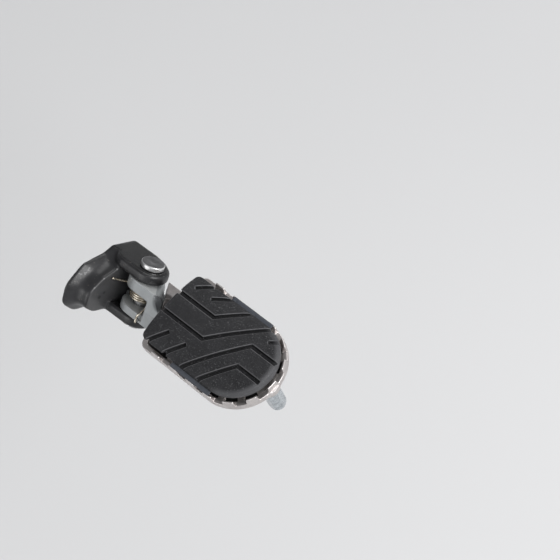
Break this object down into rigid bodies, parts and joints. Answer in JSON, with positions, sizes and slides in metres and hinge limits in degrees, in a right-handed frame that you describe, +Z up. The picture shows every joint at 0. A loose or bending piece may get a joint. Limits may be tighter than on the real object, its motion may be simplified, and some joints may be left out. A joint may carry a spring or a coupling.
{
  "type": "folding motorcycle foot peg",
  "caption": "Folding motorcycle foot peg: toothed cast ring with a crowned rubber tread, sprung hinge in a cast clevis bracket and a ground feeler stud.",
  "frame": {"origin": "on the bracket's flat back face, level with the middle of the hinge pin", "axes": "+X outboard from the motorcycle along the peg, +Y towards the front wheel, +Z up; the hinge pin leans 45 degrees forward in the YZ plane"},
  "size_m": [0.1409, 0.0632, 0.0495],
  "materials": {
    "cast_bracket": "satin black coating with a fine cast texture",
    "joint_forging": "matte metallic grey coating",
    "ring_casting": "tumbled investment-cast stainless steel",
    "tread_rubber": "matte moulded rubber",
    "pin_steel": "plated turned steel",
    "spring_wire": "drawn spring wire",
    "brass_insert": "turned brass",
    "zinc_hardware": "bright zinc plating"
  },
  "bodies": {
    "clevis": {"bracket": "cast_bracket", "pivot_pin": "pin_steel", "pin_washer": "pin_steel", "retaining_clip": "pin_steel"},
    "peg": {"joint_arm": "joint_forging", "torsion_spring": "spring_wire", "platform": "ring_casting", "rubber_pad": "tread_rubber", "pad_backing_plate": "pin_steel", "pad_insert_1": "brass_insert", "pad_insert_2": "brass_insert", "pad_insert_3": "brass_insert", "pad_washer_1": "zinc_hardware", "pad_washer_2": "zinc_hardware", "pad_washer_3": "zinc_hardware", "pad_screw_1": "zinc_hardware", "pad_screw_2": "zinc_hardware", "pad_screw_3": "zinc_hardware", "joint_washer_1": "zinc_hardware", "joint_washer_2": "zinc_hardware", "joint_washer_3": "zinc_hardware", "joint_screw_1": "zinc_hardware", "joint_screw_2": "zinc_hardware", "joint_screw_3": "zinc_hardware", "feeler_washer": "zinc_hardware", "feeler_stud": "zinc_hardware"}
  },
  "joints": [
    {"name": "peg_fold", "type": "hinge", "parent": "clevis", "child": "peg", "pos_m": [0.028, 0, 0], "axis": [0, -0.7071, -0.7071], "range_deg": [0, 70], "stiffness_Nm_per_rad": 0.35, "springref_deg": -68.75, "deforming": ["torsion_spring"]}
  ]
}
